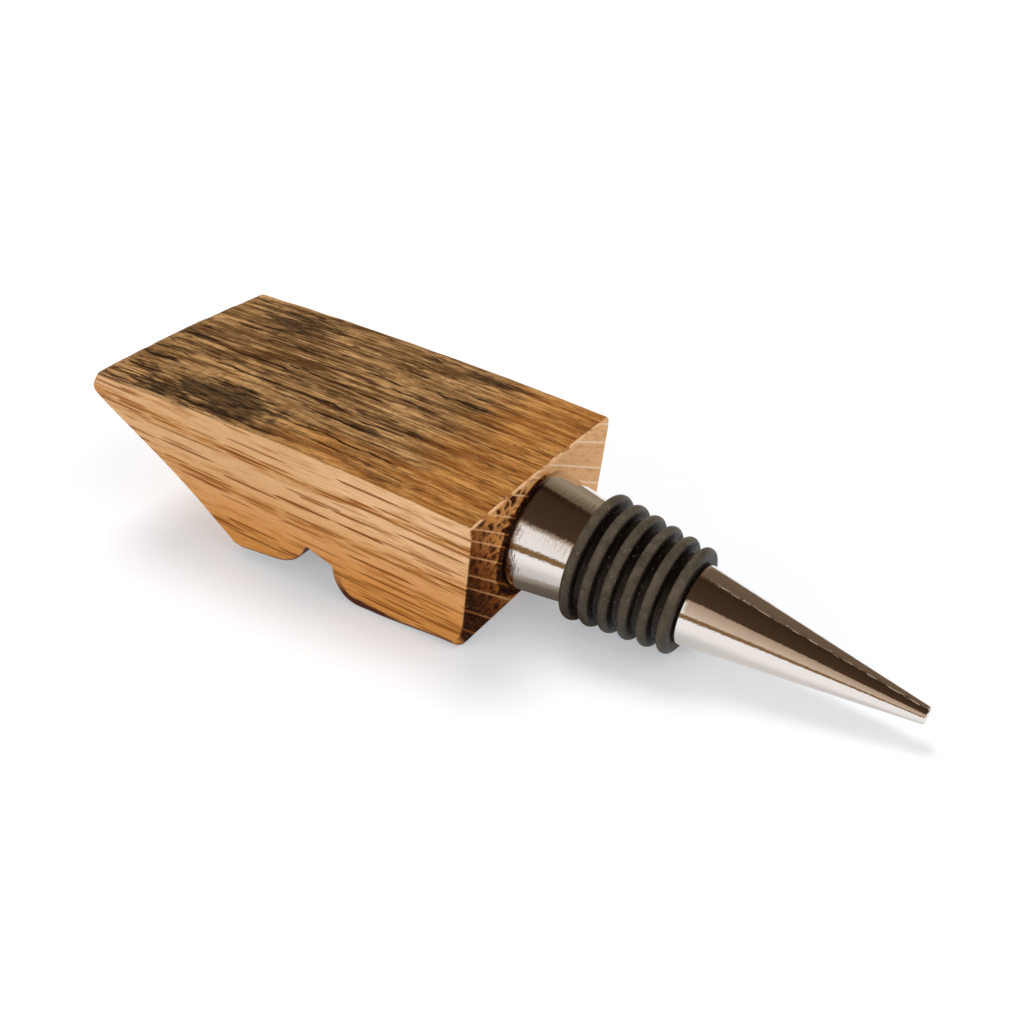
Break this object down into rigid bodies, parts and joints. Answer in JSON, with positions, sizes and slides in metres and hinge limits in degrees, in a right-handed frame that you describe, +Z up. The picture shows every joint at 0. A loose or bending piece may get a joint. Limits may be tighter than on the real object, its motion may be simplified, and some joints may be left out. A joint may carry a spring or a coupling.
{
  "type": "wine bottle stopper",
  "caption": "Wine bottle stopper: a tapered chrome plug with a ribbed rubber sleeve, held by a stud in the sawn end of an oak barrel stave that is the handle.",
  "frame": {"origin": "on the table that the stopper lies on, below the middle of its length and width", "axes": "+X from the stave to the plug's tip, +Y across the stave, +Z up"},
  "size_m": [0.1434, 0.04, 0.0287],
  "materials": {
    "oak": "stave oak, weathered on top and sanded on the sides",
    "chrome": "bright chrome plate over a zinc casting",
    "rubber": "satin moulded rubber",
    "steel": "plain steel"
  },
  "bodies": {
    "root": {"handle": "oak", "stopper_body": "chrome", "seal_sleeve": "rubber", "threaded_stud": "steel"}
  },
  "joints": []
}
